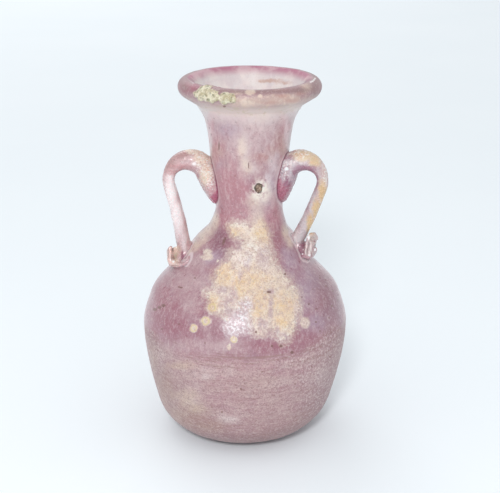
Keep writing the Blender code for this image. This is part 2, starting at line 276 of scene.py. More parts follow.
def rough(point, size, depth=3):
    """Layered noise, about -1 to 1, with its largest lumps about this many metres across."""
    return noise.fractal(Vector(point) / size, 1.0, 2.0, depth, noise_basis="PERLIN_ORIGINAL")


def swelling(point, rows):
    """Soft uneven swelling of blown glass, from rows of height and size."""
    return sum(height * rough(point, size, 2) for height, size in rows)


def add_object(name, mesh):
    """Put a mesh into the scene."""
    obj = bpy.data.objects.new(name, mesh)
    bpy.context.scene.collection.objects.link(obj)
    return obj


# ---- flask ----

def flask_relief(azimuth, height, radius, point):
    """How far the outside stands proud of the plain outline, and how much of that is crust."""
    turn = radians(azimuth)
    lift = swelling(point, FLASK_SWELLINGS)
    below = 1.0 - ease((height - MATT_TOP) / MATT_EDGE)
    ring = noise.noise(Vector((0.3 * sin(turn), 0.3 * cos(turn), height / LINE_PITCH)))
    lift += below * (LINE_HEIGHT * ring - MATT_SINK)
    run = radians(azimuth - PIT_AZIMUTH) * radius
    away = hypot(run / PIT_HALF_WIDTH, (height - PIT_HEIGHT) / PIT_HALF_HEIGHT)
    away += 0.12 * rough(point, 0.0012, 2)
    lift -= PIT_DEPTH * (1.0 - ease((away - 0.55) / 0.55))
    lift += PIT_RIM * max(0.0, 1.0 - abs(away - 1.25) / 0.35)
    crust = 0.0
    for centre, level, half_width, half_height in CRUSTS:
        away = hypot((azimuth - centre) / half_width, (height - level) / half_height)
        away += 0.3 * rough(point, 0.0022, 3)
        crust = max(crust, 1.0 - ease((away - 0.7) / 0.35))
    if crust > 0.0:
        lumps = 0.5 + 0.5 * rough(point, 0.0016, 3)
        lift += crust * (CRUST_LEAST + CRUST_LUMPS * lumps)
    return lift, crust


def base_relief(radius, point):
    """The scar of the pontil rod: a shallow ring dug up into the flat of the base."""
    ring = max(0.0, 1.0 - abs(radius - SCAR_RADIUS) / SCAR_WIDTH)
    hollow = 1.0 - ease((radius - HOLLOW_RADIUS) / SCAR_WIDTH)
    return HOLLOW_DEPTH * hollow + SCAR_HEIGHT * ring * (1 + rough(point, 0.0012, 2))


def flask_levels():
    """Heights of the rows up the outside, closer together on the neck than on the body."""
    heights = [LEVELS[0]]
    while heights[-1] < CREASE_HEIGHT - LEAST_ROW:
        step = PIT_ROW if abs(heights[-1] - PIT_HEIGHT) < PIT_ROWS_REACH else NECK_ROW
        if heights[-1] <= NECK_ROWS_FROM:
            step = BODY_ROW
        heights.append(min(heights[-1] + step, CREASE_HEIGHT))
    heights[-1] = CREASE_HEIGHT
    return heights


def joint_distance(points, handles):
    """How far points of the shoulder and neck are from the nearest handle, in millimetres."""
    trees = [BVHTree.FromPolygons([vert.co for vert in handle.data.vertices],
                                  [face.vertices for face in handle.data.polygons])
             for handle in handles]
    distances = []
    for point in points:
        gap = JOINT_REACH
        if JOINT_LOW < point[2] < JOINT_HIGH:
            for tree in trees:
                found = tree.find_nearest(point, JOINT_REACH)[3]
                if found is not None:
                    gap = min(gap, found)
        distances.append(gap * 1000)
    return distances


def flask_section():
    """The flask's half section from the middle of its base, over the lip, to its inner floor."""
    outer = heel_rows(HEEL_ROWS, 0.0, 0.0) + wall_rows(flask_levels(), 0.0)
    inner_levels = np.linspace(LEVELS[0], CREASE_HEIGHT, INNER_WALL_ROWS)
    inner = heel_rows(INNER_HEEL_ROWS, -WALL, -BASE_THICKNESS) + wall_rows(inner_levels, -WALL)
    lip = lip_rows(LIP_ROWS, outer[-1], inner[-1])
    floor = [(BASE_RADIUS * k / FLOOR_ROWS, 0.0) for k in range(1, FLOOR_ROWS)]
    inner_floor = [(inner[0][0] * k / INNER_FLOOR_ROWS, inner[0][1])
                   for k in range(INNER_FLOOR_ROWS - 1, 0, -1)]
    sections = (("floor", floor), ("outer", outer), ("lip", lip), ("inner", inner[::-1]),
                ("inner", inner_floor))
    lip_top = len(floor) + len(outer) + int(np.argmax([z for _, z in lip]))
    return [(kind, r, z) for kind, part in sections for r, z in part], lip_top


def build_flask(handles):
    """The flask as one closed turned skin with its relief on the outside."""
    rows, lip_top = flask_section()
    tangent = np.gradient(np.array([(r, z) for _, r, z in rows]), axis=0)
    tangent /= np.linalg.norm(tangent, axis=1)[:, None]
    outward = np.stack([tangent[:, 1], -tangent[:, 0]], axis=1)
    verts, crusts, insides = [], [], []
    for i, (kind, radius, height) in enumerate(rows):
        inside = 1.0 if kind == "inner" else 0.0
        if kind == "lip" and i > lip_top:
            inside = ease((LIP_RING_RADIUS + 0.0001 - radius) / 0.0012)
        for k in range(AROUND):
            azimuth = 360.0 * k / AROUND - 180.0
            turn = radians(azimuth)
            r, z, crust = radius, height, 0.0
            point = (radius * sin(turn), -radius * cos(turn), height)
            if kind in ("outer", "lip"):
                lift, crust = flask_relief(azimuth, height, radius, point)
                lift *= ease(height / RELIEF_FROM)
                r += outward[i][0] * lift
                z += outward[i][1] * lift
            elif kind == "floor":
                z += base_relief(radius, point)
            verts.append((r * sin(turn) + axis_x(z), -r * cos(turn), z))
            crusts.append(crust)
            insides.append(inside)
    faces = []
    for i in range(len(rows) - 1):
        for k in range(AROUND):
            a, b = i * AROUND + k, i * AROUND + (k + 1) % AROUND
            faces.append((a, b, b + AROUND, a + AROUND))
    bottom, top = len(verts), len(verts) + 1
    verts += [(0.0, 0.0, base_relief(0.0, (0.0, 0.0, 0.0))), (0.0, 0.0, rows[-1][2])]
    crusts += [0.0, 0.0]
    insides += [0.0, 1.0]
    last = (len(rows) - 1) * AROUND
    for k in range(AROUND):
        after = (k + 1) % AROUND
        faces += [(bottom, after, k), (top, last + k, last + after)]
    mesh = bpy.data.meshes.new("flask_glass")
    mesh.from_pydata(verts, [], faces)
    mesh.validate()
    mesh.shade_smooth()
    store(mesh, "crust", crusts)
    store(mesh, "inside", insides)
    store(mesh, "patch", outline_distance(front_picture(verts), PATCH))
    store(mesh, "joint", joint_distance(verts, handles))
    place, facing = mark_front(mesh)
    for number, (_, _, _, rows) in enumerate(TONES):
        mark_area(mesh, f"tone_{number}", place, facing, rows)
    for name, rows in AREAS.items():
        mark_area(mesh, name, place, facing, rows)
    return add_object("flask_glass", mesh)


# ---- handles ----

# Small folds of the tails: places on the front, distance behind the middle plane and radius in
# millimetres
LEFT_FOLDS = (
    ((171.4, 246.8, -3.8, 0.7), (169.4, 250.0, -4.2, 0.85), (170.6, 254.8, -4.6, 0.9),
     (169.9, 259.2, -4.5, 1.2), (172.4, 262.6, -4.9, 1.4), (176.6, 265.0, -6.0, 1.3),
     (181.0, 265.6, -8.6, 1.1), (185.4, 264.0, -9.9, 0.95), (188.2, 260.4, -9.6, 0.8),
     (188.6, 256.5, -8.3, 0.6)),
)
RIGHT_FOLDS = (
    ((303.8, 257.5, -8.2, 0.95), (305.2, 252.0, -8.0, 0.62), (306.4, 246.0, -7.9, 0.6),
     (308.0, 240.0, -7.8, 0.72), (309.6, 236.0, -7.6, 0.85), (312.5, 234.6, -7.2, 0.9),
     (315.6, 236.4, -6.9, 0.85), (316.4, 239.6, -6.9, 0.75)),
    ((307.6, 257.8, -8.3, 0.95), (308.4, 252.0, -8.2, 0.66), (309.6, 246.5, -8.1, 0.66),
     (311.2, 241.5, -8.0, 0.62)),
    ((311.2, 256.5, -8.0, 0.9), (311.9, 251.0, -8.0, 0.7), (312.9, 246.0, -7.9, 0.66),
     (314.6, 241.8, -7.6, 0.7)),
    ((312.0, 255.5, -6.8, 0.9), (314.6, 251.5, -6.7, 0.85), (315.6, 248.2, -6.6, 0.7)),
)
# The thin floor of the cup that the left tail folds into: place, half sizes in millimetres, tilt
LEFT_CUP = ((177.0, 254.5, -2.4), (2.3, 0.45, 3.4), -14)

# Side, azimuth toward the front, the loop's middle (reach and height), folds and cup
HANDLES = {
    "handle_left": (-1, 5.0, (0.0237, 0.1018), LEFT_FOLDS, LEFT_CUP),
    "handle_right": (1, 17.0, (0.0219, 0.1029), RIGHT_FOLDS, None),
}


def front_point(right, down, depth):
    """The point at a place of the front this many millimetres behind the middle plane."""
    across, up = (right - PICTURE[0] / 2) / FOCAL_PIXELS, (PICTURE[1] / 2 - down) / FOCAL_PIXELS
    c, s = cos(CAMERA_PITCH), sin(CAMERA_PITCH)
    run = Vector((across, c + up * s, up * c - s))
    return Vector(CAMERA_PLACE) + run * ((depth / 1000 - CAMERA_PLACE[1]) / run.y)


def add_fold(bm, rows):
    """A closed round trail through places of the front."""
    stations = []
    for i in range(len(rows) - 1):
        near = (rows[max(i - 1, 0)], rows[i], rows[i + 1], rows[min(i + 2, len(rows) - 1)])
        for k in range(FOLD_SUBSTEPS):
            t = k / FOLD_SUBSTEPS
            stations.append([0.5 * (2 * b + (c - a) * t + (2 * a - 5 * b + 4 * c - d) * t * t
                                    + (3 * b - a - 3 * c + d) * t ** 3)
                             for a, b, c, d in zip(*near)])
    stations.append(list(rows[-1]))
    points = [front_point(*row[:3]) for row in stations]
    rings = []
    for i, point in enumerate(points):
        run = (points[min(i + 1, len(points) - 1)] - points[max(i - 1, 0)]).normalized()
        side = run.cross(Vector((0, 1, 0))).normalized()
        other = run.cross(side)
        radius = stations[i][3] / 1000
        turns = [2 * pi * k / FOLD_SIDES for k in range(FOLD_SIDES)]
        rings.append([bm.verts.new(point + (side * cos(turn) + other * sin(turn)) * radius)
                      for turn in turns])
    for low, high in zip(rings, rings[1:]):
        for k in range(FOLD_SIDES):
            after = (k + 1) % FOLD_SIDES
            bm.faces.new((low[k], low[after], high[after], high[k]))
    for ring, i, step in ((rings[0], 0, -1), (rings[-1], -1, 1)):
        run = points[i] - points[i - step]
        tip = bm.verts.new(points[i] + run.normalized() * stations[i][3] / 1000 * 0.7)
        for k in range(FOLD_SIDES):
            bm.faces.new((ring[k], ring[(k + 1) % FOLD_SIDES], tip))


def refined(node, folds, cup):
    """A fine even skin over a CAD solid and its small folds."""
    bm = bmesh.new()
    bm.from_mesh(node.data)
    for rows in folds:
        add_fold(bm, rows)
    if cup:
        place, sizes, tilt = cup
        matrix = (Matrix.Translation(front_point(*place)) @ Matrix.Rotation(radians(tilt), 4, "Y")
                  @ Matrix.Diagonal((*[size / 1000 for size in sizes], 1.0)))
        bmesh.ops.create_uvsphere(bm, u_segments=20, v_segments=12, radius=1.0, matrix=matrix)
    bmesh.ops.recalc_face_normals(bm, faces=bm.faces)
    joined = bpy.data.meshes.new("joined")
    bm.to_mesh(joined)
    bm.free()
    source = add_object("refine_" + node.name, joined)
    remesh = source.modifiers.new("remesh", "REMESH")
    remesh.mode = "VOXEL"
    remesh.voxel_size = HANDLE_VOXEL
    soften = source.modifiers.new("soften", "SMOOTH")
    soften.factor = 0.5
    soften.iterations = 6
    bpy.context.view_layer.update()
    evaluated = source.evaluated_get(bpy.context.evaluated_depsgraph_get())
    mesh = bpy.data.meshes.new_from_object(evaluated)
    bpy.data.objects.remove(source)
    return mesh


def off_flask(point):
    """Distance of a point from the flask's plain outside."""
    radius, slope = wall_at(point[2])
    return (hypot(point[0] - axis_x(point[2]), point[1]) - radius) / hypot(1.0, slope)


def build_handle(name):
    """One handle: a fine skin over its solid, fused into the flask, with its small relief."""
    side, azimuth, (reach, height), folds, cup = HANDLES[name]
    mesh = refined(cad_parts[name], folds, cup)
    mesh.name = name + "_glass"
    mesh.materials.clear()
    turn = radians(azimuth)
    across = Vector((side * -sin(turn), -cos(turn), 0.0))
    middle = (Vector((side * cos(turn), -sin(turn), 0.0)) * reach
              + Vector((axis_x(height), 0.0, height)))
    inward, seam, moved = [], [], []
    for vert in mesh.vertices:
        point, normal = vert.co.copy(), vert.normal.copy()
        off = off_flask(point)
        lift = swelling(point, HANDLE_SWELLINGS)
        pad = (ease((off - 0.0004) / 0.001) * ease((PAD_REACH - off) / 0.003)
               * ease((point.z - PAD_FROM) / 0.006))
        lift += pad * (PAD_LIFT + PAD_LUMPS * rough(point, 0.0012, 2))
        point += normal * lift
        radial = Vector((point.x - axis_x(point.z), point.y, 0.0)).normalized()
        point -= radial * SINK_DEPTH * (1.0 - ease(off / SINK_REACH))
        to_middle = middle - point
        to_middle -= across * to_middle.dot(across)
        inward.append(normal.dot(to_middle.normalized()))
        seam.append(off * 1000)
        moved.append(point)
    mesh.vertices.foreach_set("co", np.array(moved, np.float32).ravel())
    mesh.update()
    mesh.shade_smooth()
    store(mesh, "inward", inward)
    store(mesh, "seam", seam)
    mark_front(mesh)
    return add_object(name + "_glass", mesh)


# ---- materials ----

class Shading:
    """Short ways to write a node material. Values are sockets, numbers or tuples."""

    def __init__(self, name):
        self.material = bpy.data.materials.new(name)
        self.material.use_nodes = True
        self.tree = self.material.node_tree
        self.coords = self.node("TexCoord", {}).outputs["Object"]
        self.front = self.attribute("front", "Vector")

    def put(self, socket, value):
        if isinstance(value, bpy.types.NodeSocket):
            self.tree.links.new(value, socket)
        else:
            socket.default_value = (*value, 1.0) if socket.type == "RGBA" else value

    def node(self, kind, values, **settings):
        """A new node with its settings and the values of its inputs."""
        node = self.tree.nodes.new("ShaderNode" + kind)
        for name, setting in settings.items():
            setattr(node, name, setting)
        for name, value in values.items():
            self.put(node.inputs[name], value)
        return node

    def attribute(self, name, output="Fac"):
        return self.node("Attribute", {}, attribute_name=name).outputs[output]

    def math(self, operation, *values):
        return self.node("Math", dict(enumerate(values)), operation=operation).outputs[0]

    def chain(self, operation, values):
        """Values joined in turn. A tuple among them, of a value and two ends, is a step."""
        values = [self.step(*value) if type(value) is tuple else value for value in values]
        return reduce(lambda first, second: self.math(operation, first, second), values)

    def add(self, *values):
        return self.chain("ADD", values)

    def times(self, *values):
        return self.chain("MULTIPLY", values)

    def most(self, *values):
        return self.chain("MAXIMUM", values)

    def minus(self, first, second):
        return self.math("SUBTRACT", first, second)

    def off(self, value, middle):
        """How far a value is from a middle one, either way."""
        return self.math("ABSOLUTE", self.minus(value, middle))

    def vector(self, operation, output, *values):
        node = self.node("VectorMath", dict(enumerate(values)), operation=operation)
        return node.outputs[output]

    def shifted(self, right, down):
        """The place on the front, moved by two numbers."""
        shift = self.node("CombineXYZ", {"X": right, "Y": down}).outputs["Vector"]
        return self.vector("ADD", "Vector", self.front, shift)

    def noise(self, size, detail, roughness, distortion=0.0, drawn=None):
        """Noise with lumps this many metres across, drawn out along axes with a small factor."""
        where = self.coords
        if drawn:
            where = self.node("Mapping", {"Vector": where, "Scale": drawn}).outputs["Vector"]
        return self.node("TexNoise", {
            "Vector": where, "Scale": 1.0 / size, "Detail": detail, "Roughness": roughness,
            "Distortion": distortion}).outputs["Fac"]

    def cells(self, size):
        """Distance from the nearest of scattered points, in cells of this size."""
        values = {"Vector": self.coords, "Scale": 1.0 / size}
        return self.node("TexVoronoi", values).outputs["Distance"]

    def step(self, value, low, high):
        """0 at low and 1 at high, smooth between. With high below low it falls instead."""
        ends, results = ((low, high), (0.0, 1.0)) if high >= low else ((high, low), (1.0, 0.0))
        return self.node("MapRange", {
            "Value": value, "From Min": ends[0], "From Max": ends[1], "To Min": results[0],
            "To Max": results[1]}, interpolation_type="SMOOTHSTEP").outputs["Result"]

    def mix(self, share, first, second):
        """Mix two colours."""
        return self.node("Mix", {0: share, 6: first, 7: second}, data_type="RGBA").outputs[2]

    def blend(self, share, first, second):
        """Mix two numbers."""
        return self.node("Mix", {0: share, 2: first, 3: second}).outputs[0]

    def away(self, where, x, y, half_width, half_height):
        """Distance on the front from a place, 1 at the edge of an oval."""
        gap = self.vector("SUBTRACT", "Vector", where, (x, y, 0.0))
        sizes = (1.0 / half_width, 1.0 / half_height, 0.0)
        return self.vector("LENGTH", "Value", self.vector("MULTIPLY", "Vector", gap, sizes))

    def ovals(self, where, rows, soft):
        """1 inside ovals of the front, falling to 0 past their edges."""
        return self.most(*[self.step(self.away(where, *row), 1.0 + soft, 1.0 - soft)
                           for row in rows])

    def bump(self, height, strength, distance):
        values = {"Strength": strength, "Distance": distance, "Height": height}
        return self.node("Bump", values).outputs["Normal"]

    def finish(self, colour, roughness, normal, **values):
        inputs = self.tree.nodes["Principled BSDF"].inputs
        self.put(inputs["Base Color"], colour)
        self.put(inputs["Roughness"], roughness)
        self.put(inputs["Normal"], normal)
        for name, value in values.items():
            self.put(inputs[name.replace("_", " ")], value)
        return self.material


class Layers:
    """A colour that tints are laid over, each as far as the product of its masks lets it show."""

    def __init__(self, shading, share, first, second):
        self.shading = shading
        self.colour = shading.mix(share, first, second)

    def lay(self, tint, *masks):
        self.colour = self.shading.mix(self.shading.times(*masks), self.colour, tint)


# Colours of the glass and its weathering, linear
DEEP = (0.265, 0.105, 0.15)
WINE = (0.35, 0.13, 0.175)
MAUVE = (0.385, 0.205, 0.25)
ROSE = (0.5, 0.215, 0.25)
RUST = (0.48, 0.26, 0.24)
LILAC = (0.44, 0.33, 0.42)
FILM = (0.56, 0.41, 0.425)
PALE = (0.74, 0.635, 0.61)
CREAM = (0.8, 0.68, 0.55)
CHALK = (0.9, 0.87, 0.85)
BROWN = (0.19, 0.085, 0.07)
CRUST = (0.51, 0.445, 0.285)
OLIVE = (0.2, 0.185, 0.1)

# Outline of the cream patch on the front of the shoulder
PATCH = (
    (228, 225), (233, 222), (242, 222), (248, 224), (251, 226), (254, 224), (259, 222), (266, 227),
    (269, 234), (269, 243), (273, 253), (278, 266), (285, 275), (293, 284), (300, 296), (301, 310),
    (299, 320), (294, 330), (287, 341), (282, 343), (277, 339), (274, 332), (269, 330), (265, 335),
    (257, 335), (252, 330), (250, 321), (247, 313), (241, 309), (234, 310), (228, 314), (223, 316),
    (213, 312), (208, 308), (211, 301), (207, 296), (203, 292), (210, 291), (214, 287), (214, 280),
    (216, 272), (221, 265), (226, 260), (229, 254), (234, 249), (239, 245), (241, 241), (235, 238),
    (230, 233),
)
# Ovals of the front: right, down, half width, half height; these ones are stored on the mesh
AREAS = {
    "ochre": ((234, 230, 7, 6), (263, 234, 7, 11), (224, 274, 10, 10), (248, 282, 17, 12),
        (259, 304, 8, 16), (284, 310, 10, 16), (282, 324, 6, 6), (213, 304, 4, 7), (243, 289, 6, 7),
        (275, 299, 3, 3), (213, 308, 3, 3), (226, 282, 7, 5)),
    # chalk; its first oval is a painted highlight, white at the centre of the glint
    "chalk_and_glint": ((243, 321, 6, 7), (254, 250, 10, 8), (240, 258, 10, 8), (238, 225, 8, 3),
        (281, 341, 6, 2.5)),
    "lilac": ((264, 258, 7, 12), (246, 306, 8, 8), (270, 292, 5, 3), (277, 331, 3, 9),
        (238, 247, 5, 5), (228, 306, 7, 9), (223, 290, 6, 5), (262, 324, 6, 8), (247, 262, 4, 8),
        (271, 306, 2.5, 14), (240, 276, 2.5, 6), (232, 296, 5, 8), (284, 337, 5, 5),
        (297, 318, 2.5, 14), (236, 244, 7, 3)),
    "lip_beige": ((280, 100, 28, 5), (250, 102, 22, 4.5), (306, 88, 5, 4), (236, 93, 6, 2)),
    "lip_rust": ((283, 96, 5, 2), (292, 101, 7, 2), (270, 103, 7, 1.6), (278, 90, 7, 1.4),
        (300, 93, 4, 2)),
    "lip_shade": ((316, 88, 5, 9), (184, 87, 4, 7), (250, 91, 50, 2.2), (300, 90, 12, 2.5)),
    # painted highlight: a white glint with sparkle, laid into the colour
    "painted_glint": ((238, 327, 13, 8), (247, 306, 5, 9), (242, 317, 8, 10)),
}
# Tones of the front, under the patch, stored too: colour, share, softness, ovals
TONES = (
    (FILM, 0.78, 0.8, ((254, 119, 30, 12), (250, 136, 22, 15), (262, 116, 14, 7), (250, 104, 36, 6),
        (268, 124, 10, 9), (270, 190, 6, 14), (234, 128, 10, 12))),
    (PALE, 0.6, 0.9, ((244, 145, 7, 14), (262, 114, 14, 6), (244, 164, 5, 12), (254, 122, 11, 10),
        (263, 200, 12, 9), (268, 188, 8, 9), (256, 214, 8, 9), (252, 168, 8, 5))),
    (CREAM, 0.56, 0.8, ((242, 150, 4, 10), (246, 165, 5, 7), (263, 117, 9, 4), (255, 202, 8, 9),
        (257, 218, 8, 7), (268, 196, 5, 7))),
    (LILAC, 0.56, 0.9, ((226, 130, 11, 7), (218, 165, 4, 18), (272, 184, 5, 14),
        (270, 205, 4, 12))),
    (ROSE, 0.78, 0.8, ((211, 128, 3, 14), (226, 190, 14, 28), (232, 215, 18, 12), (216, 152, 8, 16),
        (275, 214, 9, 16), (285, 124, 4, 12), (240, 192, 8, 12))),
    (RUST, 0.75, 0.8, ((281, 145, 6, 12), (274, 151, 7, 5), (219, 152, 5, 7), (262, 157, 9, 5))),
    (DEEP, 0.92, 0.7, ((219, 240, 9, 11), (224, 252, 8, 6), (332, 303, 13, 27),
        (322, 282, 11, 11))),
    (WINE, 0.75, 0.8, ((157, 306, 9, 26), (170, 326, 16, 10), (200, 305, 8, 12), (182, 276, 12, 10),
        (275, 246, 6, 12), (212, 268, 7, 5), (300, 335, 20, 8), (276, 347, 30, 6))),
    (FILM, 0.66, 0.9, ((188, 282, 15, 13), (192, 302, 10, 12), (200, 283, 10, 10),
        (196, 262, 16, 9), (192, 346, 18, 6), (216, 347, 28, 7), (226, 296, 8, 14))),
    (LILAC, 0.65, 0.9, ((303, 292, 12, 30), (290, 262, 9, 16), (312, 322, 12, 10),
        (215, 258, 10, 6))),
    (CREAM, 0.8, 0.8, ((208, 229, 5, 8), (203, 237, 6, 7), (196, 245, 6, 6), (214, 221, 4, 8),
        (286, 232, 4, 7), (290, 241, 4, 6), (189, 251, 4, 4))),
    (PALE, 0.36, 0.9, ((160, 355, 9, 8), (188, 398, 12, 8), (228, 419, 9, 4), (176, 412, 9, 8),
        (206, 372, 16, 6), (318, 374, 7, 8), (228, 370, 6, 5))),
    # painted highlight: pale thin lines along the edges of the neck
    ((0.72, 0.56, 0.58), 0.7, 0.7, ((209.5, 146, 2.5, 20), (286.5, 134, 2, 16), (212, 168, 2, 8))),
    ((0.7, 0.61, 0.64), 0.7, 0.8, ((273, 167, 4, 10), (277, 156, 3, 5), (268, 178, 4, 5))),
    ((0.76, 0.66, 0.64), 0.65, 0.7, ((229, 419, 9, 3.5), (191, 403, 6, 4), (207, 377, 6, 3))),
    ((0.62, 0.49, 0.5), 0.75, 0.8, ((241, 320, 13, 13), (237, 331, 10, 5), (228, 325, 5, 8))),
    ((0.42, 0.285, 0.235), 0.7, 0.9, ((162, 392, 14, 20), (184, 414, 22, 12), (206, 426, 16, 6),
        (152, 362, 6, 16))),
    ((0.68, 0.54, 0.4), 0.5, 0.8, ((186, 397, 10, 7), (196, 408, 7, 4), (182, 366, 16, 4))),
)
# Ovals that the materials draw
SPOTS = (
    (207, 257, 6.0, 3.6), (205.6, 321, 5.4, 4.8), (193.8, 328, 4.2, 4.2), (233.8, 339.4, 3.6, 3.6),
    (228.8, 346.9, 2.0, 3.2), (227.5, 318.8, 2.4, 2.4), (305, 323, 5.0, 5.6), (218, 261, 1.6, 1.6),
    (207, 252, 4.5, 3.0),
)
MATT_SIDES = ((336, 343, 16, 14), (325, 352, 18, 8), (150, 341, 8, 10))
SCRATCHED = ((330, 350, 20, 20), (322, 382, 20, 26), (300, 360, 20, 10), (150, 352, 10, 18))
LIP_ROSE = (
    (184, 88, 5, 7), (250, 65.5, 46, 2.4), (222, 67, 18, 2.4), (288, 68, 14, 2.2),
    (319, 90, 2.5, 5), (195, 88, 6, 4),
)
LIP_GLINT = (
    (188.8, 78.8, 1.2, 0.8), (190.2, 80.1, 1.2, 0.8), (191.8, 81.4, 1.2, 0.8),
    (193.4, 82.6, 1.2, 0.7), (310.8, 82.0, 1.2, 0.7), (312.4, 81.2, 1.2, 0.8),
    (313.9, 79.9, 1.1, 0.8), (315.0, 78.5, 1.0, 0.9),
)
LIP_BLOTS = ((250, 92, 5.2, 3.2), (260, 96, 2.6, 1.8))
MOUTH_STAIN = ((271, 80.5, 11, 1.8), (284, 82.5, 7, 1.6), (262, 81.5, 6, 1.0))
CHIP, CHIP_HALO = (258.6, 188.3, 3.6, 4.6), (260.5, 190.5, 4.4, 5.4)
DARKS = (
    (155, 309.4, 2.2, 1.5), (159.5, 307.4, 2.0, 1.4), (163.5, 305.5, 2.0, 1.5),
    (285, 274, 1.1, 1.1), (225.4, 238.6, 0.9, 1.6), (223, 243.6, 0.8, 1.8), (181, 287.5, 1.8, 0.8),
    (281, 346, 1.6, 1.5), (292, 352.4, 1.7, 1.5), (219, 146, 0.7, 4.5), (248.6, 165.5, 0.6, 3.2),
    (224.5, 106.5, 1.5, 0.9), (320, 278, 0.8, 0.8), (309, 304, 0.8, 0.8), (332, 306, 0.9, 0.9),
    (179, 287, 1.0, 0.8), (224, 241, 1.3, 2.2), (241, 389, 0.9, 1.0), (222, 412, 0.9, 0.9),
    (195, 278, 0.8, 0.8), (179, 324, 0.8, 0.8), (162, 329, 0.8, 0.8), (269, 292, 2.4, 1.2),
    (256, 332, 1.0, 1.0), (272, 346, 1.2, 1.0), (330, 357, 0.9, 0.9), (302, 297, 0.7, 0.7),
    (316, 322, 0.9, 0.9), (253, 191, 0.9, 0.9), (326, 286, 0.7, 0.7), (333, 291, 0.7, 0.7),
    (324, 299, 0.7, 0.7), (316, 309, 0.7, 0.7), (338, 300, 0.8, 0.8), (313, 289, 0.6, 0.6),
    (329, 318, 0.7, 0.7), (320, 331, 0.7, 0.7), (205, 343, 0.7, 0.7), (187, 360, 0.6, 0.6),
    (312, 367, 0.8, 0.7), (295, 384, 0.7, 0.7), (262, 372, 0.6, 0.6),
)
# Ringed spots: right, down, radius
RINGS = ((205.6, 321, 4.8), (233.8, 339.4, 3.2), (212.5, 307.5, 4.6), (193.8, 328, 3.6))
# Looks of the two handles; places and marks as in TONES, granular as ovals; some of them are
# painted highlights and shade
LEFT_TONES = {
    "plain": (0.64, 0.45, 0.46), "second": (0.54, 0.34, 0.35), "speckle": 0.08, "streak": 0.24,
    "under": (0.48, 0.25, 0.27), "under_share": 0.6,
    "places": (
        ((0.93, 0.85, 0.845), 0.9, 0.6, ((171, 192, 6, 22), (177, 216, 6, 16))),
        ((0.8, 0.7, 0.71), 0.6, 0.7, ((184, 238, 3, 12), (180, 225, 4, 14))),
        ((0.46, 0.27, 0.265), 0.85, 0.6, ((180, 154, 14, 6), (169, 162, 7, 9), (190, 149, 8, 4))),
        ((0.56, 0.28, 0.29), 0.6, 0.6, ((180, 166, 9, 3), (172, 172, 5, 3))),
        ((0.8, 0.65, 0.51), 0.85, 0.5, ((203, 158, 9, 8), (206, 174, 6, 12), (197, 151, 8, 4),
            (190, 150, 5, 3))),
        ((0.62, 0.38, 0.4), 0.7, 0.7, ((210, 190, 6, 5),)),
        ((0.48, 0.12, 0.21), 0.95, 0.6, ((215, 198, 5, 6), (217, 188, 1.5, 9))),
        ((0.8, 0.6, 0.54), 0.9, 0.6, ((170, 256, 4, 10), (175, 263, 6, 4))),
        ((0.56, 0.37, 0.39), 0.85, 0.6, ((185, 264, 6, 5), (188, 259, 3, 5))),
        ((0.76, 0.58, 0.48), 0.85, 0.5, ((176, 250, 4, 5),)),
        ((0.68, 0.57, 0.44), 0.7, 0.5, ((175.5, 257, 2.0, 5),)),
    ),
    "granular": ((204, 162, 10, 12), (210, 178, 6, 14), (198, 152, 9, 5)),
    "marks_and_painted_light": (
        ((0.26, 0.08, 0.13), 0.85, 0.5, ((182.5, 256, 1.4, 5), (184.6, 259, 2.0, 1.8))),
        ((0.52, 0.22, 0.32), 0.7, 0.6, ((185.5, 257.5, 2.0, 3.0),)),
        # painted highlights: small white glints on the pad and the tail
        ((0.95, 0.93, 0.93), 0.8, 0.4, ((194, 164, 2.0, 1.6), (173.5, 261.5, 1.2, 1.0),
            (170.5, 259.5, 1.0, 0.9))),
        ((0.33, 0.2, 0.18), 0.7, 0.5, ((173.0, 249.5, 0.9, 2.4), (168.2, 252, 0.7, 6.0),
            (170.4, 246, 2.2, 0.7), (171.5, 257, 0.6, 4.0), (175, 265.6, 4.0, 0.7))),
    ),
}
